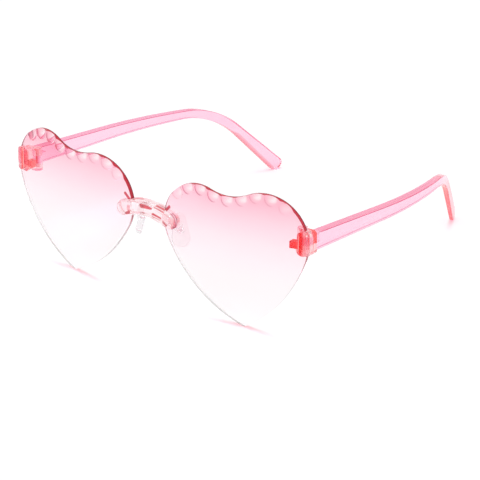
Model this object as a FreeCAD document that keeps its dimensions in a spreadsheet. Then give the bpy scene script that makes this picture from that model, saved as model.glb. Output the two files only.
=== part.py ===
import FreeCAD
import Part
import math
import os

import Sketcher
from FreeCAD import Placement, Rotation, Vector

# Rimless heart shaped sunglasses, in millimetres and degrees.
# X runs to the wearer's left, Y from the lenses back to the temple tips, Z up.
# Heights are measured from the line through the two lens centres, depths from the front of the lenses,
# until the finished pieces are set down on the floor.

FACETS_EACH_SIDE = 4

DIMENSIONS = {
    # Lens: a heart cut from a spherical shell
    "lens_curve": 130,
    "lens_thickness": 1.6,
    "lobe_offset": 13.7,
    "lobe_rise": 5.7,
    "lobe_radius": 16.6,
    "dip_radius": 22,
    "flank_radius": 60,
    "tip_drop": 28.95,
    "tip_radius": 1.45,
    "blank_depth": 30,
    # Facets ground into the front of the lens along its top edge
    "facet_width": 6.0,
    "facet_land": 0.2,
    "facet_depth": 0.9,
    # How each lens is set in the front
    "lens_gap": 15,
    "lens_roll_angle": 4.9,
    "lens_wrap_angle": 4.85,
    "lens_tilt_angle": 2,
    "lens_fit": 0.03,
    # Bridge between the lenses
    "bridge_front": 1.2,
    "bridge_depth": 5.3,
    "bridge_crown_radius": 35,
    "nose_arch_radius": 23,
    "tongue_grip": 3.1,
    "tongue_rise": 4.2,
    "tongue_radius": 2.7,
    "bridge_fillet": 0.7,
    # Rods of the bridge and the nose pads pushed onto them
    "rod_radius": 1,
    "rod_inset": 0.8,
    "rod_rise": 3.6,
    "pad_inset": 0.5,
    "pad_reach": 4.5,
    "pad_drop": 2.2,
    "pad_length": 12.6,
    "pad_width": 6.8,
    "pad_top_radius": 2.4,
    "pad_thickness": 2.4,
    "pad_rounding": 0.9,
    "pad_splay_angle": 30,
    "pad_flare_angle": 14,
    "pad_boss_radius": 1.7,
    "pad_boss_length": 3,
    "pad_floor": 0.6,
    "pad_fit": 0.03,
    # End piece at the outer edge of the lens
    "edge_wall": 0.26,
    "tab_width": 3.25,
    "tab_lift": 1.65,
    "tab_height": 9,
    "tab_corner": 1.4,
    "tab_thickness": 0.6,
    "lug_length": 2.6,
    "lug_height": 2.6,
    "lug_drop": 0.7,
    "lug_depth": 2.2,
    "block_width": 4.95,
    "block_height": 8.8,
    "block_depth": 5.28,
    "block_corner": 1.5,
    # Hinge of the temple
    "hinge_lift": 0.85,
    "hinge_setback": 0.4,
    "knuckle_radius": 1.7,
    "eye_height": 3,
    "hinge_side_gap": 0.2,
    "hinge_end_gap": 0.1,
    "butt_gap": 0.12,
    "web_length": 4,
    "web_root": 0.5,
    # Hinge screw
    "screw_radius": 0.7,
    "screw_length": 7.6,
    "screw_head_radius": 1.2,
    "screw_head_height": 0.8,
    "screw_slot_width": 0.4,
    "screw_slot_depth": 0.35,
    "screw_fit": 0.04,
    # Temple
    "temple_inset": 0.35,
    "temple_thickness": 3.6,
    "temple_rounding": 0.35,
    "arm_length": 97,
    "arm_fall": 6.9,
    "arm_height": 6.5,
    "bend_height": 2.8,
    "outer_bend_radius": 35,
    "inner_bend_radius": 34,
    "ear_angle": 47.5,
    "ear_length": 40.95,
    "ear_width": 5.7,
    "ear_rounding_ratio": 0.94,
    "straight_length": 40.9,
    "outer_bow_radius": 181.8,
    "inner_bow_radius": 193,
    "bow_angle": 13,
    "outer_turn_radius": 57.8,
    "inner_turn_radius": 56,
    "outer_toe_angle": 25,
    "inner_toe_angle": 23.3,
}

ROLL = "(Size.lens_roll_angle * 1 deg)"
WRAP = "(Size.lens_wrap_angle * 1 deg)"
TILT = "(Size.lens_tilt_angle * 1 deg)"

# Places and sizes that follow from the driving dimensions
DERIVED = {
    # Inner and outer edge of the lens, from its outline, its dome and the way it is set
    "nasal_reach": f"Size.lobe_offset * cos({ROLL}) + Size.lobe_rise * sin({ROLL}) + Size.lobe_radius",
    "temporal_reach": f"Size.lobe_offset * cos({ROLL}) - Size.lobe_rise * sin({ROLL}) + Size.lobe_radius",
    "nasal_sag": "Size.lens_curve - sqrt(Size.lens_curve ^ 2 - Derived.nasal_reach ^ 2)",
    "temporal_sag": "Size.lens_curve - sqrt(Size.lens_curve ^ 2 - Derived.temporal_reach ^ 2)",
    "lens_offset": f"Size.lens_gap / 2 + Derived.nasal_reach * cos({WRAP})"
                   f" + (Derived.nasal_sag + Size.lens_thickness) * sin({WRAP})",
    "lens_edge": f"Derived.lens_offset + Derived.temporal_reach * cos({WRAP})"
                 f" - Derived.temporal_sag * sin({WRAP})",
    "edge_rise": f"Size.lobe_rise * cos({ROLL}) + Size.lobe_offset * sin({ROLL})",
    "edge_depth": f"Derived.temporal_reach * sin({WRAP}) + Derived.temporal_sag * cos({WRAP})"
                  f" - Derived.edge_rise * sin({TILT})",
    # Bridge, rods and nose pads
    "tongue_offset": "Size.lens_gap / 2 + Size.tongue_grip",
    "bridge_back": "Size.bridge_depth - Size.bridge_front",
    "rod_offset": "Derived.tongue_offset - Size.rod_inset",
    "pad_offset": "Derived.rod_offset - Size.pad_inset",
    "pad_depth": "Derived.bridge_back + Size.pad_reach",
    "rod_reach": "sqrt(Size.pad_inset ^ 2 + Size.pad_reach ^ 2 + (Size.pad_drop + Size.rod_rise) ^ 2)",
    # End piece and hinge
    "tab_outer": "Derived.lens_edge + Size.lens_fit + Size.edge_wall",
    "tab_inner": "Derived.tab_outer - Size.tab_width",
    "tab_bottom": "Derived.edge_rise + Size.tab_lift - Size.tab_height / 2",
    "block_inner": "Derived.tab_outer - Size.block_width",
    "block_back": "Derived.edge_depth + Size.block_depth",
    "hinge_rise": "Derived.edge_rise + Size.hinge_lift",
    "hinge_depth": "Derived.block_back - Size.hinge_setback",
    "block_bottom": "Derived.hinge_rise - Size.block_height / 2",
    "block_top": "Derived.hinge_rise + Size.block_height / 2",
    "eye_bottom": "Derived.hinge_rise - Size.eye_height / 2",
    "lug_inner": "Derived.block_inner - Size.lug_length",
    # Temple
    "temple_outer": "Derived.tab_outer - Size.temple_inset",
    "temple_inner": "Derived.temple_outer - Size.temple_thickness",
    "hinge_offset": "Derived.temple_inner - Size.knuckle_radius - Size.hinge_side_gap",
    "temple_front": "Derived.block_back + Size.butt_gap",
    "bow_start": "Derived.temple_front + Size.straight_length",
    "bend_depth": "Derived.temple_front + Size.arm_length",
    "bend_rise": "Derived.hinge_rise - Size.arm_fall",
    "ear_depth": "Derived.bend_depth + Size.ear_length * cos(Size.ear_angle * 1 deg)",
    "ear_rise": "Derived.bend_rise - Size.ear_length * sin(Size.ear_angle * 1 deg)",
}

doc = FreeCAD.newDocument("HeartSunglasses")
sheet = doc.addObject("Spreadsheet::Sheet", "Size")
for row, (alias, value) in enumerate(DIMENSIONS.items(), start=1):
    sheet.set(f"A{row}", alias)
    sheet.set(f"B{row}", str(value))
    sheet.setAlias(f"B{row}", alias)
derived = doc.addObject("App::VarSet", "Derived")
for alias, text in DERIVED.items():
    derived.addProperty("App::PropertyFloat", alias)
    derived.setExpression(alias, text)
doc.recompute()


def worth(text):
    """Number that an expression over the sheet stands for."""
    answer = sheet.evalExpression(text)
    return float(getattr(answer, "Value", answer))


def dim(alias):
    return worth(f"Size.{alias}")


def spot(alias):
    return worth(f"Derived.{alias}")


# Solids and their combinations

def bind(item, **sizes):
    for name, text in sizes.items():
        item.setExpression(name, text)
    return item


def at(x, y, z):
    """Placement expression for a point, without a turn."""
    return f"placement(vector({x}; {y}; {z}); rotationx(0))"


def rod(name, radius, height, place):
    item = doc.addObject("Part::Cylinder", name)
    return bind(item, Radius=radius, Height=height, Placement=place)


def box(name, length, width, height, place):
    item = doc.addObject("Part::Box", name)
    return bind(item, Length=length, Width=width, Height=height, Placement=place)


def ball(name, radius, place):
    item = doc.addObject("Part::Sphere", name)
    return bind(item, Radius=radius, Placement=place)


def fuse(name, *pieces):
    item = doc.addObject("Part::MultiFuse", name)
    item.Shapes = list(pieces)
    item.Refine = True
    return item


def cut(name, base, tool):
    item = doc.addObject("Part::Cut", name)
    item.Base = base
    item.Tool = tool
    return item


def common(name, base, tool):
    item = doc.addObject("Part::Common", name)
    item.Base = base
    item.Tool = tool
    return item


def mirrored(name, source):
    """Twin of a piece on the other side of the nose."""
    item = doc.addObject("Part::Mirroring", name)
    item.Source = source
    item.Base = Vector(0, 0, 0)
    item.Normal = Vector(1, 0, 0)
    return item


# Sketches: every size is a constraint bound to the sheet

START, END, CENTRE = range(1, 4)
ORIGIN, UPRIGHT_AXIS = range(-1, -3, -1)


def sketch_in(body, role):
    plane = next(item for item in body.Origin.OriginFeatures if item.Role == role)
    sketch = body.newObject("Sketcher::SketchObject", body.Name + "Outline")
    sketch.AttachmentSupport = [(plane, "")]
    sketch.MapMode = "FlatFace"
    return sketch


def drive(sketch, kind, text, *where):
    """Adds a dimension and binds it to an expression."""
    index = sketch.addConstraint(Sketcher.Constraint(kind, *where, worth(text)))
    sketch.setExpression(f"Constraints[{index}]", text)


def pin(sketch, curve, point, x, y):
    drive(sketch, "DistanceX", x, ORIGIN, START, curve, point)
    drive(sketch, "DistanceY", y, ORIGIN, START, curve, point)


def tie(sketch, kind, *where):
    sketch.addConstraint(Sketcher.Constraint(kind, *where))


def add_arc(sketch, centre, radius, first, last):
    circle = Part.Circle(Vector(*centre, 0), Vector(0, 0, 1), radius)
    return sketch.addGeometry(Part.ArcOfCircle(circle, first, last), False)


def add_line(sketch, start, end):
    return sketch.addGeometry(Part.LineSegment(Vector(*start, 0), Vector(*end, 0)), False)


def add_polygon(sketch, corners):
    """Closed run of lines with every corner pinned by a pair of expressions."""
    spots = [(worth(x), worth(y)) for x, y in corners]
    lines = [add_line(sketch, spot, spots[(i + 1) % len(spots)]) for i, spot in enumerate(spots)]
    for i, line in enumerate(lines):
        tie(sketch, "Coincident", line, END, lines[(i + 1) % len(lines)], START)
        pin(sketch, line, START, *corners[i])


def bearing(origin, goal):
    return math.atan2(goal[1] - origin[1], goal[0] - origin[0])


def pad(body, sketch, length, backwards=False, both_ways=False):
    feature = body.newObject("PartDesign::Pad", body.Name + "Pad")
    feature.Profile = sketch
    feature.Reversed = backwards
    feature.Midplane = both_ways
    feature.setExpression("Length", length)
    sketch.Visibility = False
    return feature


# Lens

LENS_POSE = ("placement(vector(Derived.lens_offset; 0; 0); "
             "rotationx(Size.lens_tilt_angle) * rotationz(Size.lens_wrap_angle)"
             " * rotationy(-Size.lens_roll_angle))")
CURVE_CENTRE = f"{LENS_POSE} * {at('0', 'Size.lens_curve', '0')}"


def flank_centre(lobe, tip):
    """Centre of the arc that runs from the tip, round it, to the lobe and swallows both."""
    to_lobe = dim("flank_radius") - dim("lobe_radius")
    to_tip = dim("flank_radius") - dim("tip_radius")
    span = math.dist(lobe, tip)
    along = (to_tip ** 2 - to_lobe ** 2 + span ** 2) / (2 * span)
    aside = math.sqrt(to_tip ** 2 - along ** 2)
    heading = bearing(tip, lobe)
    return (tip[0] + along * math.cos(heading) - aside * math.sin(heading),
            tip[1] + along * math.sin(heading) + aside * math.cos(heading))


def dip_height():
    reach = dim("dip_radius") + dim("lobe_radius")
    return dim("lobe_rise") + math.sqrt(reach ** 2 - dim("lobe_offset") ** 2)


def heart_prism(name, growth):
    """Heart shaped bar along Y: six arcs that meet smoothly, grown all round by a clearance."""
    lobe = (dim("lobe_offset"), dim("lobe_rise"))
    tip = (0, -dim("tip_drop"))
    dip = (0, dip_height())
    flank = flank_centre(lobe, tip)
    to_dip = bearing(lobe, dip)
    to_flank = bearing(flank, lobe)
    to_tip = bearing(flank, tip)

    body = doc.addObject("PartDesign::Body", name)
    sketch = sketch_in(body, "XZ_Plane")
    top = add_arc(sketch, dip, dim("dip_radius"), 2 * math.pi - to_dip, math.pi + to_dip)
    left_lobe = add_arc(sketch, lobe, dim("lobe_radius"), to_flank, to_dip)
    left_flank = add_arc(sketch, flank, dim("flank_radius"), to_tip, to_flank)
    foot = add_arc(sketch, tip, dim("tip_radius"), -math.pi - to_tip, to_tip)
    right_flank = add_arc(sketch, (-flank[0], flank[1]), dim("flank_radius"),
                          math.pi - to_flank, math.pi - to_tip)
    right_lobe = add_arc(sketch, (-lobe[0], lobe[1]), dim("lobe_radius"),
                         math.pi - to_dip, math.pi - to_flank)

    tie(sketch, "Tangent", top, END, left_lobe, END)
    tie(sketch, "Tangent", left_lobe, START, left_flank, END)
    tie(sketch, "Tangent", left_flank, START, foot, END)
    tie(sketch, "Tangent", foot, START, right_flank, END)
    tie(sketch, "Tangent", right_flank, START, right_lobe, END)
    tie(sketch, "Tangent", right_lobe, START, top, START)
    tie(sketch, "PointOnObject", foot, CENTRE, UPRIGHT_AXIS)
    tie(sketch, "Symmetric", left_lobe, CENTRE, right_lobe, CENTRE, UPRIGHT_AXIS)
    tie(sketch, "Equal", left_lobe, right_lobe)
    tie(sketch, "Equal", left_flank, right_flank)
    pin(sketch, left_lobe, CENTRE, "Size.lobe_offset", "Size.lobe_rise")
    drive(sketch, "DistanceY", "Size.tip_drop", foot, CENTRE, ORIGIN, START)
    drive(sketch, "Radius", f"Size.lobe_radius + {growth}", left_lobe)
    drive(sketch, "Radius", f"Size.flank_radius + {growth}", left_flank)
    drive(sketch, "Radius", f"Size.tip_radius + {growth}", foot)
    drive(sketch, "Radius", f"Size.dip_radius - {growth}", top)
    pad(body, sketch, "Size.blank_depth", both_ways=True)
    body.setExpression("Placement", LENS_POSE)
    return body


def lens_blank(name, growth):
    """Heart cut from a spherical shell, grown all round by a clearance."""
    front = ball(name + "Front", f"Size.lens_curve + {growth}", CURVE_CENTRE)
    back = ball(name + "Back", f"Size.lens_curve - Size.lens_thickness - {growth}", CURVE_CENTRE)
    domed = common(name + "Domed", heart_prism(name + "Prism", growth), front)
    return cut(name, domed, back)


def facet_spot(count):
    """Point of the heart's top edge that lies a number of facets to the left of the dip."""
    dip_sweep = math.asin(dim("lobe_offset") / (dim("dip_radius") + dim("lobe_radius")))
    along = abs(count) * (dim("facet_width") + dim("facet_land"))
    past_dip = along - dip_sweep * dim("dip_radius")
    if past_dip <= 0:
        sweep = along / dim("dip_radius")
        spot = (dim("dip_radius") * math.sin(sweep), dip_height() - dim("dip_radius") * math.cos(sweep))
    else:
        sweep = past_dip / dim("lobe_radius") - dip_sweep
        spot = (dim("lobe_offset") + dim("lobe_radius") * math.sin(sweep),
                dim("lobe_rise") + dim("lobe_radius") * math.cos(sweep))
    return math.copysign(spot[0], count), spot[1]


def facet_ball(count):
    """Round cutter that stands on the front surface and dips into it at the edge."""
    radius = "(Size.facet_width ^ 2 / 4 + Size.facet_depth ^ 2) / (2 * Size.facet_depth)"
    x, z = facet_spot(count)
    reach = f"(Size.lens_curve - Size.facet_depth + {radius})"
    away = f"sqrt({reach} ^ 2 - {x} ^ 2 - {z} ^ 2)"
    place = f"{CURVE_CENTRE} * {at(x, f'-{away}', z)}"
    return ball(f"Facet{count + FACETS_EACH_SIDE}", radius, place)


def left_lens():
    counts = range(-FACETS_EACH_SIDE, FACETS_EACH_SIDE + 1)
    facets = fuse("Facets", *[facet_ball(count) for count in counts])
    return cut("LeftLens", lens_blank("LensBlank", "0"), facets)


# Bridge

ROD_ROOT = Vector(spot("rod_offset"), spot("bridge_back"), dim("rod_rise"))
PAD_CENTRE = Vector(spot("pad_offset"), spot("pad_depth"), -dim("pad_drop"))
ROD_TURN = Rotation(Vector(0, 0, 1), PAD_CENTRE - ROD_ROOT)


def along_rod(name, radius, start, end):
    """Round bar on the line from the back of the bridge to the middle of the left nose pad."""
    item = doc.addObject("Part::Cylinder", name)
    bind(item, Radius=radius, Height=f"{end} - ({start})")
    item.Placement = Placement(ROD_ROOT + ROD_TURN.multVec(Vector(0, 0, worth(start))), ROD_TURN)
    return item


def bridge_bar():
    """Bar whose outline is a crown, a nose arch and two round tongues that meet smoothly."""
    tongue = (spot("tongue_offset"), dim("tongue_rise"))
    crown_reach = dim("bridge_crown_radius") - dim("tongue_radius")
    arch_reach = dim("nose_arch_radius") + dim("tongue_radius")
    crown = (0, tongue[1] - math.sqrt(crown_reach ** 2 - tongue[0] ** 2))
    arch = (0, tongue[1] - math.sqrt(arch_reach ** 2 - tongue[0] ** 2))
    to_crown = bearing(crown, tongue)
    to_arch = bearing(arch, tongue)

    body = doc.addObject("PartDesign::Body", "BridgeBar")
    sketch = sketch_in(body, "XZ_Plane")
    top = add_arc(sketch, crown, dim("bridge_crown_radius"), to_crown, math.pi - to_crown)
    left = add_arc(sketch, tongue, dim("tongue_radius"), to_arch - math.pi, to_crown)
    under = add_arc(sketch, arch, dim("nose_arch_radius"), to_arch, math.pi - to_arch)
    right = add_arc(sketch, (-tongue[0], tongue[1]), dim("tongue_radius"),
                    math.pi - to_crown, 2 * math.pi - to_arch)
    tie(sketch, "Tangent", top, START, left, END)
    tie(sketch, "Tangent", left, START, under, START)
    tie(sketch, "Tangent", under, END, right, END)
    tie(sketch, "Tangent", right, START, top, END)
    tie(sketch, "Symmetric", left, CENTRE, right, CENTRE, UPRIGHT_AXIS)
    tie(sketch, "Equal", left, right)
    pin(sketch, left, CENTRE, "Derived.tongue_offset", "Size.tongue_rise")
    drive(sketch, "Radius", "Size.tongue_radius", left)
    drive(sketch, "Radius", "Size.bridge_crown_radius", top)
    drive(sketch, "Radius", "Size.nose_arch_radius", under)
    bar = pad(body, sketch, "Size.bridge_depth", backwards=True)
    doc.recompute()

    rims = [f"Edge{i}" for i, edge in enumerate(bar.Shape.Edges, start=1)
            if abs(edge.BoundBox.YLength) < edge.Length / 2]
    fillet = body.newObject("PartDesign::Fillet", "BridgeRounding")
    fillet.Base = (bar, rims)
    fillet.setExpression("Radius", "Size.bridge_fillet")
    body.setExpression("Placement", at("0", "-Size.bridge_front", "0"))
    return body


def bridge(left_seat):
    rod_start = "-Size.bridge_fillet"
    left_rod = along_rod("LeftRod", "Size.rod_radius", rod_start, "Derived.rod_reach - Size.pad_floor")
    solid = fuse("BridgeSolid", bridge_bar(), left_rod, mirrored("RightRod", left_rod))
    open_left = cut("BridgeOpenLeft", solid, left_seat)
    return cut("Bridge", open_left, mirrored("RightSeat", left_seat))


def pad_cushion():
    """Drop shaped cushion with a narrow round top, a wide round bottom and rounded rims."""
    foot_radius = "Size.pad_width / 2"
    foot_rise = f"({foot_radius} - Size.pad_length / 2)"
    top_rise = "(Size.pad_length / 2 - Size.pad_top_radius)"
    foot, top = (0, worth(foot_rise)), (0, worth(top_rise))
    lean = math.asin((worth(foot_radius) - dim("pad_top_radius")) / (top[1] - foot[1]))
    reach = (math.cos(lean), math.sin(lean))

    def touch(centre, radius, side):
        return (side * radius * reach[0], centre[1] + radius * reach[1])

    body = doc.addObject("PartDesign::Body", "PadCushion")
    sketch = sketch_in(body, "YZ_Plane")
    below = add_arc(sketch, foot, worth(foot_radius), math.pi - lean, 2 * math.pi + lean)
    above = add_arc(sketch, top, dim("pad_top_radius"), lean, math.pi - lean)
    rear = add_line(sketch, touch(foot, worth(foot_radius), 1), touch(top, dim("pad_top_radius"), 1))
    fore = add_line(sketch, touch(top, dim("pad_top_radius"), -1), touch(foot, worth(foot_radius), -1))
    tie(sketch, "Tangent", below, END, rear, START)
    tie(sketch, "Tangent", rear, END, above, START)
    tie(sketch, "Tangent", above, END, fore, START)
    tie(sketch, "Tangent", fore, END, below, START)
    tie(sketch, "PointOnObject", below, CENTRE, UPRIGHT_AXIS)
    tie(sketch, "PointOnObject", above, CENTRE, UPRIGHT_AXIS)
    drive(sketch, "DistanceY", f"-{foot_rise}", below, CENTRE, ORIGIN, START)
    drive(sketch, "DistanceY", top_rise, ORIGIN, START, above, CENTRE)
    drive(sketch, "Radius", foot_radius, below)
    drive(sketch, "Radius", "Size.pad_top_radius", above)
    slab = pad(body, sketch, "Size.pad_thickness", both_ways=True)
    doc.recompute()

    rims = [f"Edge{i}" for i, edge in enumerate(slab.Shape.Edges, start=1)
            if edge.BoundBox.XLength < edge.Length / 2]
    fillet = body.newObject("PartDesign::Fillet", "PadRounding")
    fillet.Base = (slab, rims)
    fillet.setExpression("Radius", "Size.pad_rounding")
    body.setExpression("Placement", "placement(vector(Derived.pad_offset; Derived.pad_depth; -Size.pad_drop);"
                       " rotationz(-Size.pad_splay_angle) * rotationy(-Size.pad_flare_angle))")
    return body


def left_nose_pad():
    boss = along_rod("PadBoss", "Size.pad_boss_radius", "Derived.rod_reach - Size.pad_boss_length",
                     "Derived.rod_reach")
    socket = along_rod("PadSocket", "Size.rod_radius + Size.pad_fit", "-Size.bridge_fillet",
                       "Derived.rod_reach - Size.pad_floor + Size.pad_fit")
    return cut("LeftNosePad", fuse("PadSolid", pad_cushion(), boss), socket)


# Hinge

def hinge_bar(name, radius, bottom, height):
    """Upright round bar on the axis of the left hinge."""
    return rod(name, radius, height, at("Derived.hinge_offset", "Derived.hinge_depth", bottom))


def edge_bar(name, inner, bottom, height, corner):
    """Bar along Y, over the outer edge of the left lens, with rounded corners."""
    body = doc.addObject("PartDesign::Body", name)
    sketch = sketch_in(body, "XZ_Plane")
    top = f"{bottom} + {height}"
    add_polygon(sketch, [(inner, bottom), ("Derived.tab_outer", bottom),
                         ("Derived.tab_outer", top), (inner, top)])
    bar = pad(body, sketch, "Derived.block_back", backwards=True)
    doc.recompute()
    corners = [f"Edge{i}" for i, edge in enumerate(bar.Shape.Edges, start=1)
               if edge.BoundBox.YLength > edge.Length / 2]
    fillet = body.newObject("PartDesign::Fillet", name + "Rounding")
    fillet.Base = (bar, corners)
    fillet.setExpression("Radius", corner)
    return body


def left_end_piece(left_seat):
    # Tab that wraps the edge of the lens, in front and behind
    tab_bar = edge_bar("TabBar", "Derived.tab_inner", "Derived.tab_bottom",
                       "Size.tab_height", "Size.tab_corner")
    tab_face = ball("TabFace", "Size.lens_curve + Size.tab_thickness", CURVE_CENTRE)
    tab_back = ball("TabBack", "Size.lens_curve - Size.lens_thickness - Size.tab_thickness", CURVE_CENTRE)
    tab = cut("Tab", common("TabDomed", tab_bar, tab_face), tab_back)

    # Block, lug and fork behind the lens
    block = edge_bar("Block", "Derived.block_inner", "Derived.block_bottom",
                     "Size.block_height", "Size.block_corner")
    lug = box("Lug", "Derived.tab_outer - Derived.lug_inner", "Derived.hinge_depth", "Size.lug_height",
              at("Derived.lug_inner", "0", "Derived.hinge_rise - Size.lug_drop - Size.lug_height / 2"))
    lug_back = ball("LugBack", "Size.lens_curve - Size.lens_thickness - Size.lug_depth", CURVE_CENTRE)
    cheek = box("Cheek", "Derived.temple_inner - Derived.hinge_offset", "Size.knuckle_radius",
                "Size.block_height",
                at("Derived.hinge_offset", "Derived.hinge_depth - Size.knuckle_radius",
                   "Derived.block_bottom"))
    knuckle = hinge_bar("Knuckle", "Size.knuckle_radius", "Derived.block_bottom", "Size.block_height")
    behind = ball("BehindLens", "Size.lens_curve - Size.lens_thickness / 2", CURVE_CENTRE)
    rear = fuse("RearSolid", block, cut("ThinLug", lug, lug_back), cheek, knuckle)
    fork = common("Fork", rear, behind)

    # Room for the lens, the eye of the temple and the screw
    eye_room = hinge_bar("EyeRoom", "Size.knuckle_radius + Size.hinge_side_gap",
                         "Derived.eye_bottom - Size.hinge_end_gap",
                         "Size.eye_height + 2 * Size.hinge_end_gap")
    shank_room = hinge_bar("ShankRoom", "Size.screw_radius + Size.screw_fit",
                           "Derived.block_top - Size.screw_length - Size.screw_fit",
                           "Size.screw_length + Size.screw_fit")
    head_room = hinge_bar("HeadRoom", "Size.screw_head_radius + Size.screw_fit",
                          "Derived.block_top - Size.screw_head_height", "Size.screw_head_height")
    opened = cut("EndPieceOpen", fuse("EndPieceSolid", tab, fork), left_seat)
    return cut("LeftEndPiece", opened, fuse("HingeRoom", eye_room, shank_room, head_room))


def left_hinge_screw():
    shank = hinge_bar("Shank", "Size.screw_radius", "Derived.block_top - Size.screw_length",
                      "Size.screw_length")
    head = hinge_bar("Head", "Size.screw_head_radius", "Derived.block_top - Size.screw_head_height",
                     "Size.screw_head_height")
    slot = box("Slot", "2 * Size.screw_head_radius", "Size.screw_slot_width", "Size.screw_slot_depth",
               at("Derived.hinge_offset - Size.screw_head_radius",
                  "Derived.hinge_depth - Size.screw_slot_width / 2",
                  "Derived.block_top - Size.screw_slot_depth"))
    return cut("LeftHingeScrew", fuse("ScrewSolid", shank, head), slot)


# Temple

SLOPE = "atan(Size.arm_fall / Size.arm_length)"
EAR = "(Size.ear_angle * 1 deg)"
MITRE = f"(({EAR} + {SLOPE}) / 2)"
MITRE_REACH = f"(Size.bend_height / 2 / cos(({EAR} - {SLOPE}) / 2))"
EAR_ROUNDING = "Size.ear_width / 2 * Size.ear_rounding_ratio"


def nearest_edge(feature, spot):
    """Number of the edge along X that lies nearest to a point of the side view."""
    def miss(pair):
        return sum(math.dist((end.Y, end.Z), spot) for end in pair[1].Vertexes)
    return min(enumerate(feature.Shape.Edges, start=1), key=miss)[0]


def side_view():
    """Bar along X with the outline of the temple seen from its side."""
    corners = [
        ("Derived.temple_front", "Derived.hinge_rise + Size.arm_height / 2"),
        (f"Derived.bend_depth + {MITRE_REACH} * sin({MITRE})",
         f"Derived.bend_rise + {MITRE_REACH} * cos({MITRE})"),
        (f"Derived.ear_depth + Size.ear_width / 2 * sin({EAR})",
         f"Derived.ear_rise + Size.ear_width / 2 * cos({EAR})"),
        (f"Derived.ear_depth - Size.ear_width / 2 * sin({EAR})",
         f"Derived.ear_rise - Size.ear_width / 2 * cos({EAR})"),
        (f"Derived.bend_depth - {MITRE_REACH} * sin({MITRE})",
         f"Derived.bend_rise - {MITRE_REACH} * cos({MITRE})"),
        ("Derived.temple_front", "Derived.hinge_rise - Size.arm_height / 2"),
    ]
    body = doc.addObject("PartDesign::Body", "TempleSide")
    sketch = sketch_in(body, "YZ_Plane")
    add_polygon(sketch, corners)
    feature = pad(body, sketch, "Derived.tab_outer")
    doc.recompute()

    roundings = {"OuterBend": (1, "Size.outer_bend_radius"), "InnerBend": (4, "Size.inner_bend_radius"),
                 "EarTop": (2, EAR_ROUNDING), "EarBottom": (3, EAR_ROUNDING)}
    for name, (corner, radius) in roundings.items():
        spot = [worth(text) for text in corners[corner]]
        edge = nearest_edge(feature, spot)
        rounding = body.newObject("PartDesign::Fillet", name)
        rounding.Base = (feature, [f"Edge{edge}"])
        rounding.setExpression("Radius", radius)
        doc.recompute()
        feature = rounding
    return body


def side_line(sketch, start, bow_radius, turn_radius, toe_angle):
    """One long side of the temple seen from above: straight, bowed, turned in more sharply, straight."""
    bow = "(Size.bow_angle * 1 deg)"
    toe = f"({toe_angle} * 1 deg)"
    bow_centre = (f"({start} - {bow_radius})", "Derived.bow_start")
    step = f"({bow_radius} - {turn_radius})"
    turn_centre = (f"({bow_centre[0]} + {step} * cos({bow}))", f"({bow_centre[1]} + {step} * sin({bow}))")
    turn_end = (f"({turn_centre[0]} + {turn_radius} * cos({toe}))",
                f"({turn_centre[1]} + {turn_radius} * sin({toe}))")
    toe_end = "(Derived.ear_depth + Size.ear_width)"
    spots = [(start, "Derived.temple_front"),
             (start, "Derived.bow_start"),
             (f"{bow_centre[0]} + {bow_radius} * cos({bow})", f"{bow_centre[1]} + {bow_radius} * sin({bow})"),
             turn_end,
             (f"{turn_end[0]} - ({toe_end} - {turn_end[1]}) * tan({toe})", toe_end)]
    places = [(worth(x), worth(y)) for x, y in spots]
    bow_sweep, toe_sweep = math.radians(worth(bow)), math.radians(worth(toe))
    curves = [add_line(sketch, places[0], places[1]),
              add_arc(sketch, [worth(v) for v in bow_centre], worth(bow_radius), 0, bow_sweep),
              add_arc(sketch, [worth(v) for v in turn_centre], worth(turn_radius), bow_sweep, toe_sweep),
              add_line(sketch, places[3], places[4])]
    for before, after, place in zip(curves, curves[1:], spots[1:]):
        tie(sketch, "Coincident", before, END, after, START)
        pin(sketch, after, START, *place)
    pin(sketch, curves[0], START, *spots[0])
    pin(sketch, curves[-1], END, *spots[-1])
    drive(sketch, "Radius", bow_radius, curves[1])
    drive(sketch, "Radius", turn_radius, curves[2])
    return curves[0], curves[-1], places


def plan_view():
    """Upright bar with the outline of the temple seen from above, thinner towards the tip."""
    body = doc.addObject("PartDesign::Body", "TemplePlan")
    sketch = sketch_in(body, "XY_Plane")
    outer_first, outer_last, outer_places = side_line(
        sketch, "Derived.temple_outer", "Size.outer_bow_radius", "Size.outer_turn_radius",
        "Size.outer_toe_angle")
    inner_first, inner_last, inner_places = side_line(
        sketch, "Derived.temple_inner", "Size.inner_bow_radius", "Size.inner_turn_radius",
        "Size.inner_toe_angle")
    front = add_line(sketch, inner_places[0], outer_places[0])
    back = add_line(sketch, outer_places[-1], inner_places[-1])
    tie(sketch, "Coincident", front, START, inner_first, START)
    tie(sketch, "Coincident", front, END, outer_first, START)
    tie(sketch, "Coincident", back, START, outer_last, END)
    tie(sketch, "Coincident", back, END, inner_last, END)
    pad(body, sketch, "2 * (Size.ear_length + Size.arm_height + Size.arm_fall)", both_ways=True)
    return body


def rounded_arm():
    """Arm with its long edges and its tip rounded, and a square front that meets the end piece."""
    arm = common("TempleArm", side_view(), plan_view())
    doc.recompute()
    radius = dim("temple_rounding")
    rounded = doc.addObject("Part::Fillet", "RoundedArm")
    rounded.Base = arm
    rounded.Edges = [(number, radius, radius) for number, edge in enumerate(arm.Shape.Edges, start=1)
                     if round(edge.BoundBox.YLength, 3) > 0]
    return rounded


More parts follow.
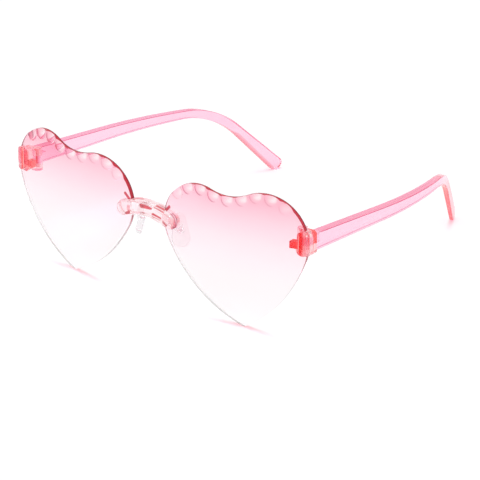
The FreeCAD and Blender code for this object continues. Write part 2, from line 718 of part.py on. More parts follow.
def left_temple():
    arm = rounded_arm()
    eye = hinge_bar("Eye", "Size.knuckle_radius", "Derived.eye_bottom", "Size.eye_height")
    web = box("EyeWeb", "Derived.temple_inner - Derived.hinge_offset + Size.web_root", "Size.web_length",
              "Size.eye_height", at("Derived.hinge_offset", "Derived.temple_front", "Derived.eye_bottom"))
    bore = hinge_bar("EyeBore", "Size.screw_radius + Size.screw_fit", "Derived.eye_bottom", "Size.eye_height")
    return cut("LeftTemple", fuse("TempleSolid", arm, eye, web), bore)


# Assembly

seat = lens_blank("LensSeat", "Size.lens_fit")
lefts = {"lens": left_lens(), "nose_pad": left_nose_pad(), "end_piece": left_end_piece(seat),
         "hinge_screw": left_hinge_screw(), "temple": left_temple()}
nodes = {"bridge": bridge(seat)}
for piece, item in lefts.items():
    nodes["left_" + piece] = item
    nodes["right_" + piece] = mirrored("Right" + item.Name.removeprefix("Left"), item)
for label, item in nodes.items():
    item.Label = label
doc.recompute()

# Stand the glasses on the floor with the origin under the middle of their box
boxes = [item.Shape.optimalBoundingBox() for item in nodes.values()]
depth = (min(limit.YMin for limit in boxes) + max(limit.YMax for limit in boxes)) / 2
floor = min(limit.ZMin for limit in boxes)
for item in [nodes["bridge"], *lefts.values()]:
    item.Placement = Placement(Vector(0, -depth, -floor), Rotation())
doc.recompute()

for item in doc.Objects:
    if "Invalid" in item.State or "Error" in item.State:
        raise RuntimeError(f"{item.Label} failed: {item.State}")
for label, item in nodes.items():
    if item.Shape.isNull() or not item.Shape.isValid():
        raise RuntimeError(f"{label} has no valid shape")

os.makedirs("parts", exist_ok=True)
for label, item in nodes.items():
    item.Shape.exportStep(f"parts/{label}.step")
    limit = item.Shape.optimalBoundingBox()
    print(f"{label}: {len(item.Shape.Solids)} solid, {item.Shape.Volume:.1f} mm3,"
          f" x {limit.XMin:.2f} to {limit.XMax:.2f}, y {limit.YMin:.2f} to {limit.YMax:.2f},"
          f" z {limit.ZMin:.2f} to {limit.ZMax:.2f}")
print(f"origin moved by {-depth:.4f} in Y and {-floor:.4f} in Z")
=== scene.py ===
"""Heart shaped rimless sunglasses: materials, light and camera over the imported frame, in metres."""

import bpy
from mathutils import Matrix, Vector


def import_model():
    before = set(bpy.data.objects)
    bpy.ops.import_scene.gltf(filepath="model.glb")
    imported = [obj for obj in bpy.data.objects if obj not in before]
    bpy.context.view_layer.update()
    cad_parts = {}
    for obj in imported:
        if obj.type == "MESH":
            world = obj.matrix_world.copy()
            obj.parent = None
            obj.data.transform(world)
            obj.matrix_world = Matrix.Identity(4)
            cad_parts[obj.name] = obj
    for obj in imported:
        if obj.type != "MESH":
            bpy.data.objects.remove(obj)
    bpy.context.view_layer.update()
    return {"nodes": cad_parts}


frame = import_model()
scene = bpy.context.scene

# The wearer's sides, as signs of X
LEFT, RIGHT = 1, -1

# Factors that press a place flat, as seen from the front or from the side
FRONT_VIEW = (1.0, 0.0, 1.0)
SIDE_VIEW = (0.0, 1.0, 1.0)

UP = (0.0, 0.0, 1.0)
WHITE = (1.0, 1.0, 1.0)

# Height that the ramps by height share out, a little over the glasses
TOP = 0.055

# Values between which most of a noise lies
NOISE_SPAN = (0.3, 0.7)

# Shares of its width at which a mark ends and is full
STROKE_FADE = (1.0, 0.6)

# Sockets of a mix node that serve colours: the factor and the two colours, and the result
MIX_INPUTS = (0, 6, 7)
MIX_RESULT = 2


# Node helpers

class Nodes:
    """Short calls that add linked nodes to one material or world."""

    def __init__(self, tree):
        self.tree = tree
        tree.nodes.clear()

    def add(self, kind, links=(), **settings):
        node = self.tree.nodes.new(kind)
        for name, value in settings.items():
            setattr(node, name, value)
        for socket, value in dict(links).items():
            self.feed(node.inputs[socket], value)
        return node

    def feed(self, socket, value):
        if isinstance(value, bpy.types.NodeSocket):
            self.tree.links.new(value, socket)
        elif isinstance(value, tuple) and len(value) == 3 and socket.type == "RGBA":
            socket.default_value = (*value, 1)
        else:
            socket.default_value = value

    def math(self, operation, first, second=0.0):
        return self.add("ShaderNodeMath", {0: first, 1: second}, operation=operation).outputs[0]

    def product(self, first, *others):
        for other in others:
            first = self.math("MULTIPLY", first, other)
        return first

    def largest(self, first, *others):
        for other in others:
            first = self.math("MAXIMUM", first, other)
        return first

    def rest(self, share):
        """What a share leaves of one."""
        return self.math("SUBTRACT", 1.0, share)

    def size(self, value):
        """A value without its sign."""
        return self.math("ABSOLUTE", value)

    def vector(self, operation, first, second=(0, 0, 0)):
        node = self.add("ShaderNodeVectorMath", {0: first, 1: second}, operation=operation)
        return node.outputs["Value" if operation in ("DOT_PRODUCT", "LENGTH") else "Vector"]

    def axes(self, vector):
        """The X, Y and Z of a vector."""
        return tuple(self.add("ShaderNodeSeparateXYZ", {0: vector}).outputs)

    def height(self, spot):
        """Height over the floor, as a share of TOP."""
        return self.math("DIVIDE", self.axes(spot)[2], TOP)

    def step(self, value, low, high, start=0.0, end=1.0):
        """Smooth change from start to end while the value goes from low to high."""
        node = self.add("ShaderNodeMapRange", {"Value": value, "From Min": low, "From Max": high,
                                               "To Min": start, "To Max": end},
                        interpolation_type="SMOOTHSTEP")
        return node.outputs["Result"]

    def blend(self, factor, first, second, kind="MIX"):
        node = self.add("ShaderNodeMix", data_type="RGBA", blend_type=kind)
        for socket, value in zip(MIX_INPUTS, (factor, first, second)):
            self.feed(node.inputs[socket], value)
        return node.outputs[MIX_RESULT]

    def tinted(self, colour, tint):
        return self.blend(1.0, colour, tint, "MULTIPLY")

    def ramp(self, value, stops):
        """Colour by a value: stops are (position, colour), at least two."""
        node = self.add("ShaderNodeValToRGB", {"Fac": value})
        elements = node.color_ramp.elements
        for spot, (position, colour) in enumerate(stops):
            element = elements[spot] if spot < 2 else elements.new(position)
            element.position = position
            element.color = (*colour, 1)
        return node.outputs["Color"]

    def noise(self, place, scale, detail=2.0):
        node = self.add("ShaderNodeTexNoise", {"Vector": place, "Scale": scale, "Detail": detail})
        return node.outputs["Fac"]

    def mottled(self, noise, *colours):
        """Two colours that a noise mixes."""
        return self.ramp(noise, zip(NOISE_SPAN, colours))

    def stretched(self, place, scale):
        return self.add("ShaderNodeMapping", {"Vector": place, "Scale": scale}).outputs[0]

    def stroke(self, place, start, end, width):
        """Mask of a straight mark with round ends, drawn by distance from the line that it follows."""
        run = Vector(end) - Vector(start)
        offset = self.vector("SUBTRACT", place, start)
        along = self.vector("DOT_PRODUCT", offset, tuple(run / run.length_squared))
        along = self.math("MINIMUM", self.math("MAXIMUM", along, 0.0), 1.0)
        nearest = self.add("ShaderNodeVectorMath", {0: tuple(run), "Scale": along},
                           operation="SCALE").outputs[0]
        gap = self.vector("LENGTH", self.vector("SUBTRACT", offset, nearest))
        return self.step(self.math("DIVIDE", gap, width), *STROKE_FADE)

    def strokes(self, place, marks):
        """Mask of several marks together, each of them (start, end, width)."""
        return self.largest(*[self.stroke(place, *mark) for mark in marks])

    def bump(self, height, strength, distance):
        node = self.add("ShaderNodeBump", {"Height": height, "Strength": strength, "Distance": distance})
        return node.outputs["Normal"]

    def seen(self):
        """1 for rays that show a surface, straight or through plastic, and 0 for scattered light."""
        ray = self.add("ShaderNodeLightPath").outputs
        return self.largest(ray["Is Glossy Ray"], ray["Is Transmission Ray"], ray["Is Camera Ray"])


def new_material(name):
    material = bpy.data.materials.new(name)
    material.use_nodes = True
    return material, Nodes(material.node_tree)


def height_stops(*stops):
    """Ramp stops from heights over the floor, as shares of TOP."""
    return [(z / TOP, colour) for z, colour in stops]


# Clear plastic

# What lamps lose at a clear surface: only the plastic near the floor leaves a tinted shadow
CONTACT_SHADE = height_stops(
    (0.000, (1.0, 0.26, 0.36)),
    (0.005, (1.0, 0.60, 0.69)),
    (0.014, (1.0, 0.95, 0.97)),
)

GRAIN_SCALE = 900
RIPPLE_DETAIL = 1.0
RIPPLE_DEPTH = 0.002


def clear_plastic(name, paint, ior, rough, ripple, depth=None):
    """Transparent moulded plastic.

    paint takes the nodes, the place and the normal, and makes the colour and how clear it is. rough is the
    span of the roughness, ripple the scale and strength of a slow bump, and depth the colour and density of
    what the inside absorbs.
    """
    material, nodes = new_material(name)
    place = nodes.add("ShaderNodeTexCoord")
    spot = place.outputs["Object"]
    colour, clear = paint(nodes, spot, place.outputs["Normal"])
    scale, strength = ripple
    surface = nodes.add("ShaderNodeBsdfPrincipled", {
        "Base Color": colour,
        "Roughness": nodes.step(nodes.noise(spot, GRAIN_SCALE), *NOISE_SPAN, *rough),
        "IOR": ior,
        "Transmission Weight": clear,
        "Normal": nodes.bump(nodes.noise(spot, scale, RIPPLE_DETAIL), strength, RIPPLE_DEPTH),
    })
    shade = nodes.ramp(nodes.height(spot), CONTACT_SHADE)
    passing = nodes.add("ShaderNodeBsdfTransparent", {"Color": shade})
    lamp = nodes.add("ShaderNodeLightPath")
    mix = nodes.add("ShaderNodeMixShader", {0: lamp.outputs["Is Shadow Ray"], 1: surface.outputs[0],
                                            2: passing.outputs[0]})
    out = nodes.add("ShaderNodeOutputMaterial", {"Surface": mix.outputs[0]})
    if depth:
        inside = nodes.add("ShaderNodeVolumeAbsorption", {"Color": depth[0], "Density": depth[1]})
        nodes.feed(out.inputs["Volume"], inside.outputs[0])
    return material


def dress(material, *names):
    for name in names:
        slots = frame["nodes"][name].data.materials
        slots.clear()
        slots.append(material)


# Lenses. Pairs and fours below are what Nodes.step takes: low, high, and the values there if not 0 and 1

# Centre of curvature on the left side, radius, thickness and the X of the lens's middle
DOME_CENTRE = (0.027582, 0.061701, 0.034667)
DOME_RADIUS = 0.130
LENS_THICKNESS = 0.0016
LENS_MIDDLE = 0.0377

# Tint of the front face by height, and how far a noise shifts it
LENS_TINT = height_stops(
    (0.006, (0.945, 0.928, 0.930)),
    (0.021, (0.960, 0.920, 0.928)),
    (0.028, (0.990, 0.880, 0.912)),
    (0.035, (1.000, 0.818, 0.864)),
    (0.041, (1.000, 0.720, 0.795)),
    (0.0445, (1.000, 0.660, 0.740)),
    (0.048, (0.980, 0.580, 0.675)),
    (0.0515, (0.965, 0.490, 0.590)),
)
TINT_NOISE = 35
TINT_SHIFT = (-0.01, 0.01)

# Depths under the front: where the untinted back begins, and where the facets begin and end
BACK_FACE = (0.0012, 0.0014)
FACET_START = (0.00006, 0.00012)
FACET_END = (0.0014, 0.0010)

# The painted highlight and shade of the facets at both ends of the row are fainter, by distance from the
# middle of the glasses
INNER_FACETS = (0.0125, 0.0175, 0.3, 1.0)
OUTER_FACETS = (0.0600, 0.0550, 0.3, 1.0)

# Painted highlight on a facet, where it would reflect the overhead lamp: by depth, by its lean upwards and by
# its lean to one side
FACET_HIGHLIGHT_COLOUR = (1.0, 0.97, 0.98)
FACET_HIGHLIGHT_DEPTH = (0.00035, 0.00085, 0.03, 0.62)
FACET_HIGHLIGHT_RISE = (0.35, 0.1, 0.35, 1.0)
FACET_HIGHLIGHT_WAY = (-0.71, 0.0, 0.71)
FACET_HIGHLIGHT_TURN = (-0.2, 0.2, 0.3, 1.0)

# Painted shade, a dark line along one side of a facet: by depth and lean, fading across the middle of the
# lens
FACET_SHADE_COLOUR = (0.62, 0.24, 0.33)
FACET_SHADE_DEPTH = (0.00040, 0.00022)
FACET_SHADE_WAY = (0.71, 0.0, 0.71)
FACET_SHADE_TURN = (0.12, 0.42)
FACET_SHADE_FADE = 0.012
FACET_SHADE_SHARES = (1.0, 0.45)

# Marks beside the bridge and the end piece are given on the left lens and folded onto the right one

# Clear bonding area under each tongue
BOND_AREA = ((0.0075, 0, 0.0345), (0.0104, 0, 0.0345), 0.0031)
BOND_SHARE = 0.8
BOND_COLOUR = (1.0, 0.975, 0.98)

# Red stain in the slot of each end piece
END_STAIN = ((0.0650, 0, 0.0362), (0.0658, 0, 0.0400), 0.0016)
STAIN_SHARE = 0.55
STAIN_COLOUR = (0.95, 0.05, 0.06)

# Dark line round the end of each tongue: centre, radius, distance from it, and where along X it begins
BOND_LINE_CENTRE = (0.0106, 0, 0.0343)
BOND_LINE_RADIUS = 0.0029
BOND_LINE_EDGE = (0.00030, 0.00016)
BOND_LINE_START = (0.0106, 0.0114)
BOND_LINE_SHARE = {LEFT: 1.0, RIGHT: 0.4}
BOND_LINE_COLOUR = (0.38, 0.022, 0.065)

# Red bond marks beside each tongue, on the front
BOND_MARKS = (
    ((0.00835, 0, 0.03756), (0.01045, 0, 0.03976), 0.0007),
    ((0.00774, 0, 0.03340), (0.00945, 0, 0.03250), 0.0006),
)
BOND_MARK_DEPTH = (0.0010, 0.0005)
BOND_MARK_COLOUR = (0.38, 0.006, 0.014)

# Steep side of the outermost facet, where light is trapped on the right lens, and how clear it stays
END_FACET = ((0.0613, 0, 0.0500), (0.0606, 0, 0.0483), 0.0010)
END_FACET_CLEAR = {LEFT: 1.0, RIGHT: 0.2}

# Stretches of the rim that are bedded in the bridge and the end piece and keep no dye
SLOTS = (
    ((0.0070, 0, 0.0343), (0.0095, 0, 0.0343), 0.0034),
    ((0.0650, 0, 0.0372), (0.0650, 0, 0.0392), 0.0046),
)

# Rim: how little it faces as the dome does, and its dye by height
RIM_FACING = (0.6, 0.3)
RIM_TINT = height_stops(
    (0.004, (0.32, 0.315, 0.31)),
    (0.017, (0.34, 0.29, 0.295)),
    (0.026, (0.44, 0.20, 0.22)),
    (0.036, (0.47, 0.010, 0.024)),
    (0.050, (0.49, 0.012, 0.028)),
)

# Half width of the dye about the middle of the rim, by height: wide above and near the floor
DYE_REACH_ABOVE = (0.48, 0.70, 0.00036, 0.00110)
DYE_REACH_BELOW = (0.30, 0.10, 0.00036, 0.00100)
DYE_CORE = 0.7

# Darker line along the back of the rim
BACK_LINE = (0.00105, 0.00135)
BACK_LINE_SHADE = (0.42, 0.5, 0.5)

# Strength of the dye by height
DYE_STRENGTH = (0.20, 0.62, 0.60, 0.84)

# Where it is fainter: low on the viewer's left half, and along the outer side of the right lens
LOW_HALF = (0.62, 0.50, 0.0, 0.4)
HALF_FADE = 0.004
FLANK = (0.0540, 0.0590)
FLANK_HEIGHT = (0.74, 0.66)
FLANK_FAINT = {LEFT: 0.0, RIGHT: 0.64}


class Lens:
    """Where a point lies on one lens, and the paint there."""

    def __init__(self, nodes, spot, normal, side):
        self.nodes = nodes
        self.spot = spot
        self.side = side
        self.middle = side * LENS_MIDDLE
        outward = nodes.vector("SUBTRACT", spot, (side * DOME_CENTRE[0], *DOME_CENTRE[1:]))
        dome = nodes.vector("NORMALIZE", outward)
        self.facing = nodes.size(nodes.vector("DOT_PRODUCT", dome, normal))
        self.tilt = nodes.vector("SUBTRACT", normal, dome)
        self.sunk = nodes.math("SUBTRACT", DOME_RADIUS, nodes.vector("LENGTH", outward))
        self.height = nodes.height(spot)
        self.aside = nodes.axes(spot)[0]
        self.across = nodes.size(self.aside)
        self.folded = nodes.vector("MULTIPLY", nodes.vector("ABSOLUTE", spot), FRONT_VIEW)

    def lean(self, way):
        """How far the surface leans from the dome in one direction."""
        return self.nodes.vector("DOT_PRODUCT", self.tilt, way)

    def tint(self):
        """Pink by height on the front and none on the back, where the light has passed it."""
        nodes = self.nodes
        shift = nodes.step(nodes.noise(self.spot, TINT_NOISE), *NOISE_SPAN, *TINT_SHIFT)
        tint = nodes.ramp(nodes.math("ADD", self.height, shift), LENS_TINT)
        return nodes.blend(nodes.step(self.sunk, *BACK_FACE), nodes.tinted(tint, tint), WHITE)

    def faceted(self, tint):
        """The tint with a painted highlight on each facet and painted shade along one side of each."""
        nodes = self.nodes
        ends = nodes.product(nodes.step(self.across, *INNER_FACETS), nodes.step(self.across, *OUTER_FACETS))
        # Painted highlight where a facet would reflect the overhead lamp: on its deeper part, leaning upwards
        # and to one side
        painted_highlight = nodes.product(nodes.step(self.sunk, *FACET_HIGHLIGHT_DEPTH), nodes.step(self.lean(UP), *FACET_HIGHLIGHT_RISE),
                              nodes.step(self.lean(FACET_HIGHLIGHT_WAY), *FACET_HIGHLIGHT_TURN), ends)
        facet_light_shade = nodes.blend(painted_highlight, tint, FACET_HIGHLIGHT_COLOUR)
        # Painted shade: a dark line along one side of each facet, fainter across the middle of the lens
        fade = nodes.step(self.aside, self.middle - FACET_SHADE_FADE, self.middle + FACET_SHADE_FADE, *FACET_SHADE_SHARES)
        painted_shade = nodes.product(nodes.step(self.sunk, *FACET_SHADE_DEPTH),
                               nodes.step(self.lean(FACET_SHADE_WAY), *FACET_SHADE_TURN), fade, ends)
        facet_light_shade = nodes.blend(painted_shade, facet_light_shade, nodes.tinted(tint, FACET_SHADE_COLOUR))
        facet = nodes.product(nodes.step(self.sunk, *FACET_START), nodes.step(self.sunk, *FACET_END))
        return nodes.blend(facet, tint, facet_light_shade)

    def bonded(self, face):
        """The face with the traces of bond and dye beside the bridge and the end piece."""
        nodes = self.nodes
        area = nodes.product(nodes.stroke(self.folded, *BOND_AREA), BOND_SHARE)
        face = nodes.blend(area, face, BOND_COLOUR)
        stain = nodes.product(nodes.stroke(self.folded, *END_STAIN), STAIN_SHARE)
        face = nodes.blend(stain, face, STAIN_COLOUR)
        away = nodes.vector("LENGTH", nodes.vector("SUBTRACT", self.folded, BOND_LINE_CENTRE))
        off_line = nodes.size(nodes.math("SUBTRACT", away, BOND_LINE_RADIUS))
        line = nodes.product(nodes.step(off_line, *BOND_LINE_EDGE),
                             nodes.step(self.across, *BOND_LINE_START, 0.0, BOND_LINE_SHARE[self.side]))
        face = nodes.blend(line, face, BOND_LINE_COLOUR)
        marks = nodes.product(nodes.strokes(self.folded, BOND_MARKS), nodes.step(self.sunk, *BOND_MARK_DEPTH))
        return nodes.blend(marks, face, BOND_MARK_COLOUR)

    def rim(self):
        """Mask of the dyed part of the rim."""
        nodes = self.nodes
        reach = nodes.largest(nodes.step(self.height, *DYE_REACH_ABOVE),
                              nodes.step(self.height, *DYE_REACH_BELOW))
        off_middle = nodes.size(nodes.math("SUBTRACT", self.sunk, LENS_THICKNESS / 2))
        return nodes.product(nodes.step(self.facing, *RIM_FACING),
                             nodes.rest(nodes.strokes(self.folded, SLOTS)),
                             nodes.step(off_middle, reach, nodes.product(reach, DYE_CORE)))

    def dye(self):
        """Colour of the rim, with the darker line along its back."""
        nodes = self.nodes
        dye = nodes.ramp(self.height, RIM_TINT)
        return nodes.blend(nodes.step(self.sunk, *BACK_LINE), dye, nodes.tinted(dye, BACK_LINE_SHADE))

    def clear(self, rim):
        """How clear the lens is: less so at the dyed rim and at one end facet."""
        nodes = self.nodes
        low_half = nodes.product(nodes.step(self.aside, self.middle + HALF_FADE, self.middle - HALF_FADE),
                                 nodes.step(self.height, *LOW_HALF))
        flank = nodes.product(nodes.step(self.across, *FLANK, 0.0, FLANK_FAINT[self.side]),
                              nodes.step(self.height, *FLANK_HEIGHT))
        dyed = nodes.product(nodes.step(self.height, *DYE_STRENGTH),
                             nodes.rest(nodes.largest(low_half, flank)))
        end_facet = nodes.step(nodes.stroke(self.folded, *END_FACET), 0.0, 1.0,
                               1.0, END_FACET_CLEAR[self.side])
        return nodes.product(nodes.rest(nodes.product(rim, dyed)), end_facet)


def lens_paint(side):
    def paint(nodes, spot, normal):
        lens = Lens(nodes, spot, normal, side)
        face = lens.bonded(lens.faceted(lens.tint()))
        rim = lens.rim()
        return nodes.blend(rim, face, lens.dye()), lens.clear(rim)

    return paint


# Temples. In the spans along a temple, Y runs from the hinge at -0.06 to the tip at 0.069

# How far the ear turns the broad side towards the back, by Y
EAR_TURN = (-0.02, 0.065, 0.0, 0.45)

# Streaks along the arm, and the two colours that they mix on the broad sides
STREAK = (1.0, 0.15, 1.0)
STREAK_NOISE = 120
ARM_COLOURS = ((1.0, 0.61, 0.76), (1.0, 0.67, 0.81))

# The eye of the hinge has no edge dye: the arm begins here
ARM_START = (-0.0550, -0.0530)

# Dye of the narrow edges by side: deeper on the right, where the lower edge adds little
EDGE_FACING = (0.85, 0.5)
EDGE_COLOURS = {
    LEFT: ((0.93, 0.24, 0.40), (0.96, 0.31, 0.47)),
    RIGHT: ((0.88, 0.13, 0.30), (0.91, 0.18, 0.36)),
}

# Lower edge of the arm in the side view, and how pale it is
ARM_EDGE = ((0, -0.0560, 0.0346), (0, 0.0290, 0.0302), 0.0015)
ARM_EDGE_PALE = {LEFT: 0.0, RIGHT: 0.9}

# Darker line on the rounding between broad sides and edges, up to the ear
ROUNDING_START = (0.20, 0.35)
ROUNDING_END = (0.95, 0.85)
ROUNDING_STOP = (0.056, 0.040)
ROUNDING_COLOUR = (0.80, 0.05, 0.15)

# Strip on the front of the ear, with its colours at the bend and at the tip by side
STRIP_FACING = (-0.1, -0.4)
STRIP_START = (0.02, 0.035)
STRIP_EDGE = (0.97, 0.85)
STRIP_SPAN = (0.046, 0.060)
STRIP_COLOURS = {
    LEFT: ((0.99, 0.27, 0.26), (0.98, 0.21, 0.23)),
    RIGHT: ((0.97, 0.36, 0.47), (0.96, 0.29, 0.38)),
}

# Warm top of the ear's bend
BEND_START = (0.030, 0.040)
BEND_END = (0.060, 0.050)
BEND_FACING = (0.2, 0.6)
BEND_SHARE = {LEFT: 0.7, RIGHT: 0.0}
BEND_COLOUR = (1.0, 0.46, 0.42)

# Darker band along the lower edge of the ear: its runs in the side view, width and shade
EAR_EDGE = (
    ((0, 0.0300, 0.0292), (0, 0.0492, 0.0184)),
    ((0, 0.0492, 0.0184), (0, 0.0641, 0.0009)),
)
BAND_WIDTH = (-0.2, 0.2, 0.0014, 0.0054)
BAND_START = (0.028, 0.052)
BAND_SHADE = (0.96, 0.48, 0.48)


def temple_paint(side):
    def paint(nodes, spot, normal):
        to_x, to_y, to_z = nodes.axes(normal)
        along = nodes.axes(spot)[1]
        profile = nodes.vector("MULTIPLY", spot, SIDE_VIEW)
        outward = nodes.product(to_x, side)
        turn = nodes.product(to_y, nodes.step(along, *EAR_TURN))
        broad = nodes.size(nodes.math("ADD", outward, turn))
        streaks = nodes.noise(nodes.stretched(spot, STREAK), STREAK_NOISE)

        pale = nodes.product(nodes.stroke(profile, *ARM_EDGE), ARM_EDGE_PALE[side])
        arm = nodes.product(nodes.step(along, *ARM_START), nodes.rest(pale))
        edge = nodes.product(arm, nodes.step(broad, *EDGE_FACING))
        colour = nodes.blend(edge, nodes.mottled(streaks, *ARM_COLOURS),
                             nodes.mottled(streaks, *EDGE_COLOURS[side]))
        rounding = nodes.product(nodes.step(broad, *ROUNDING_START), nodes.step(broad, *ROUNDING_END),
                                 arm, nodes.step(along, *ROUNDING_STOP))
        colour = nodes.blend(rounding, colour, ROUNDING_COLOUR)

        strip = nodes.product(nodes.step(to_y, *STRIP_FACING), nodes.step(along, *STRIP_START),
                              nodes.step(broad, *STRIP_EDGE))
        strip_colour = nodes.blend(nodes.step(along, *STRIP_SPAN), *STRIP_COLOURS[side])
        colour = nodes.blend(strip, colour, strip_colour)
        bend = nodes.product(nodes.step(along, *BEND_START), nodes.step(along, *BEND_END),
                             nodes.step(to_z, *BEND_FACING, 0.0, BEND_SHARE[side]))
        colour = nodes.blend(bend, colour, BEND_COLOUR)
        width = nodes.step(outward, *BAND_WIDTH)
        band = nodes.product(nodes.strokes(profile, [(*run, width) for run in EAR_EDGE]),
                             nodes.step(along, *BAND_START))
        return nodes.blend(band, colour, nodes.tinted(colour, BAND_SHADE)), 1.0

    return paint


for side, name in ((LEFT, "left"), (RIGHT, "right")):
    dress(clear_plastic("lens_" + name + "_pink", lens_paint(side), ior=1.3, rough=(0.005, 0.03),
                        ripple=(25, 0.02)), name + "_lens")
    dress(clear_plastic("temple_" + name + "_pink", temple_paint(side), ior=1.49, rough=(0.02, 0.07),
                        ripple=(80, 0.05)), name + "_temple")


# End pieces

# Coral on the front of the block, by Y and by distance from the middle, and blush on the rest
END_NOISE = 260
END_FRONT = (-0.0602, -0.0614)
END_WALL = (0.0668, 0.0654)
CORAL = ((1.0, 0.15, 0.14), (1.0, 0.24, 0.22))
BLUSH = ((1.0, 0.74, 0.75), (1.0, 0.82, 0.83))

# Red lug on the lens, inward of the block
LUG_INWARD = (0.0633, 0.0627)
LUG_FRONT = (-0.0588, -0.0598)
LUG_RED = ((0.97, 0.028, 0.025), (1.0, 0.045, 0.04))


def end_paint(nodes, spot, normal):
    x, y, _ = nodes.axes(spot)
    across = nodes.size(x)
    mottle = nodes.noise(spot, END_NOISE)
    front = nodes.product(nodes.step(y, *END_FRONT), nodes.step(across, *END_WALL))
    block = nodes.blend(front, nodes.mottled(mottle, *BLUSH), nodes.mottled(mottle, *CORAL))
    lug = nodes.product(nodes.step(across, *LUG_INWARD), nodes.step(y, *LUG_FRONT))
    return nodes.blend(lug, block, nodes.mottled(mottle, *LUG_RED)), 1.0


dress(clear_plastic("end_piece_coral", end_paint, ior=1.32, rough=(0.02, 0.08), ripple=(150, 0.06),
                    depth=((1.0, 0.55, 0.55), 30.0)),
      "left_end_piece", "right_end_piece")


# Bridge and nose pads

BRIDGE_NOISE = 180
BRIDGE_COLOURS = ((1.0, 0.90, 0.92), (1.0, 0.95, 0.96))

# Dyed end of each tongue, by distance from the middle
TONGUE_END = (0.0131, 0.0134)
TONGUE_END_COLOUR = (0.70, 0.08, 0.14)

# Red dye marks on the back of the bar: start, end, width and colour
BAR_BACK = (-0.0655, -0.0645)
DYE_MARKS = (
    ((-0.0037, 0, 0.0362), (0.0006, 0, 0.0366), 0.0011, (0.46, 0.006, 0.012)),
    ((0.0019, 0, 0.0341), (0.0051, 0, 0.0334), 0.0009, (0.46, 0.006, 0.012)),
    ((0.0026, 0, 0.0373), (0.0064, 0, 0.0363), 0.0014, (0.90, 0.36, 0.44)),
)

# Red mark across the top of the bar, and how much of the plastic's clearness it takes
TOP_MARK = ((-0.0066, -0.0667, 0.0382), (-0.0047, -0.0643, 0.0385), 0.0007)
TOP_MARK_COLOUR = (0.66, 0.04, 0.07)
TOP_MARK_COVER = 0.7

PAD_NOISE = 300
PAD_COLOURS = ((0.97, 0.95, 0.96), (0.99, 0.98, 0.98))


def bridge_paint(nodes, spot, normal):
    x, y, _ = nodes.axes(spot)
    colour = nodes.mottled(nodes.noise(spot, BRIDGE_NOISE), *BRIDGE_COLOURS)
    colour = nodes.blend(nodes.step(nodes.size(x), *TONGUE_END), colour, TONGUE_END_COLOUR)
    flat = nodes.vector("MULTIPLY", spot, FRONT_VIEW)
    behind = nodes.step(y, *BAR_BACK)
    for *mark, dye in DYE_MARKS:
        colour = nodes.blend(nodes.product(behind, nodes.stroke(flat, *mark)), colour, dye)
    top_mark = nodes.stroke(spot, *TOP_MARK)
    clear = nodes.rest(nodes.product(top_mark, TOP_MARK_COVER))
    return nodes.blend(top_mark, colour, TOP_MARK_COLOUR), clear


def pad_paint(nodes, spot, normal):
    return nodes.mottled(nodes.noise(spot, PAD_NOISE), *PAD_COLOURS), 1.0


dress(clear_plastic("bridge_pale_pink", bridge_paint, ior=1.49, rough=(0.02, 0.06), ripple=(150, 0.06),
                    depth=((1.0, 0.30, 0.36), 22.0)),
      "bridge")
dress(clear_plastic("pad_clear", pad_paint, ior=1.41, rough=(0.03, 0.10), ripple=(250, 0.05),
                    depth=((0.35, 0.32, 0.34), 24.0)),
      "left_nose_pad", "right_nose_pad")


# Screws: rose plated, so that they show little through the plastic

TURNED = (1.0, 1.0, 6.0)
TURNED_NOISE = 2200
TURNED_DETAIL = 3.0
STEEL_COLOURS = ((1.0, 0.68, 0.70), (1.0, 0.76, 0.78))
STEEL_ROUGH = (0.18, 0.32)
STEEL_BUMP = (0.15, 0.0002)


def steel(name):
    material, nodes = new_material(name)
    spot = nodes.add("ShaderNodeTexCoord").outputs["Object"]
    grain = nodes.noise(nodes.stretched(spot, TURNED), TURNED_NOISE, TURNED_DETAIL)
    surface = nodes.add("ShaderNodeBsdfPrincipled", {
        "Base Color": nodes.mottled(grain, *STEEL_COLOURS),
        "Metallic": 1.0,
        "Roughness": nodes.step(grain, *NOISE_SPAN, *STEEL_ROUGH),
        "Normal": nodes.bump(grain, *STEEL_BUMP),
    })
    nodes.add("ShaderNodeOutputMaterial", {"Surface": surface.outputs[0]})
    return material


dress(steel("screw_steel"), "left_hinge_screw", "right_hinge_screw")


# Floor, light and camera

FLOOR_REACH = 8.0
FLOOR_Z = -0.0001
FLOOR_COLOUR = (0.9, 0.9, 0.9)

# Glow that lifts the far floor to white, by distance from the glasses
FLOOR_GLOW = (0.25, 1.2, 0.0, 0.5)

# Brightness of the sky for scattered light, by the height of the direction
SKY = (
    (0.0, WHITE),
    (0.12, WHITE),
    (0.35, (0.70, 0.70, 0.71)),
    (1.0, (0.55, 0.55, 0.56)),
)

CAMERA_PLACE = (0.47786, -0.61631, 0.33635)
CAMERA_TARGET = (0.00865, -0.02431, 0.01196)


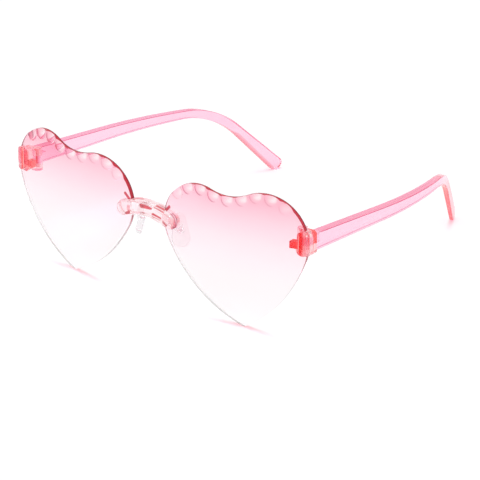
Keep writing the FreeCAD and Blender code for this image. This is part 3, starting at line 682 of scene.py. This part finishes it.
def floor():
    mesh = bpy.data.meshes.new("floor")
    corners = [(x * FLOOR_REACH, y * FLOOR_REACH, 0) for x, y in ((-1, -1), (1, -1), (1, 1), (-1, 1))]
    mesh.from_pydata(corners, [], [(0, 1, 2, 3)])
    plane = bpy.data.objects.new("floor", mesh)
    plane.location.z = FLOOR_Z
    scene.collection.objects.link(plane)
    material, nodes = new_material("floor_white")
    away = nodes.vector("LENGTH", nodes.add("ShaderNodeTexCoord").outputs["Object"])
    lit = nodes.add("ShaderNodeBsdfDiffuse", {"Color": FLOOR_COLOUR})
    lift = nodes.product(nodes.seen(), nodes.step(away, *FLOOR_GLOW))
    glow = nodes.add("ShaderNodeEmission", {"Color": WHITE, "Strength": lift})
    both = nodes.add("ShaderNodeAddShader", {0: lit.outputs[0], 1: glow.outputs[0]})
    nodes.add("ShaderNodeOutputMaterial", {"Surface": both.outputs[0]})
    mesh.materials.append(material)


def world():
    scene.world = bpy.data.worlds.new("studio")
    scene.world.use_nodes = True
    nodes = Nodes(scene.world.node_tree)
    way = nodes.add("ShaderNodeTexCoord").outputs["Generated"]
    sky = nodes.blend(nodes.seen(), nodes.ramp(nodes.axes(way)[2], SKY), WHITE)
    background = nodes.add("ShaderNodeBackground", {"Color": sky, "Strength": 1.0})
    nodes.add("ShaderNodeOutputWorld", {"Surface": background.outputs[0]})


def softbox():
    lamp = bpy.data.lights.new("softbox", "AREA")
    lamp.shape = "SQUARE"
    lamp.size = 0.5
    lamp.energy = 21.0
    box = bpy.data.objects.new("softbox", lamp)
    box.location = (0.0, 0.0, 2.0)
    scene.collection.objects.link(box)


def camera():
    data = bpy.data.cameras.new("camera")
    data.lens = 164.1
    data.sensor_width = 36.0
    eye = bpy.data.objects.new("camera", data)
    eye.location = CAMERA_PLACE
    aim = Vector(CAMERA_TARGET) - Vector(CAMERA_PLACE)
    eye.rotation_euler = aim.to_track_quat("-Z", "Y").to_euler()
    scene.collection.objects.link(eye)
    scene.camera = eye


floor()
world()
softbox()
camera()
scene.view_settings.view_transform = "Standard"
scene.cycles.max_bounces = 64
scene.cycles.glossy_bounces = 64
scene.cycles.transmission_bounces = 64
scene.cycles.transparent_max_bounces = 24
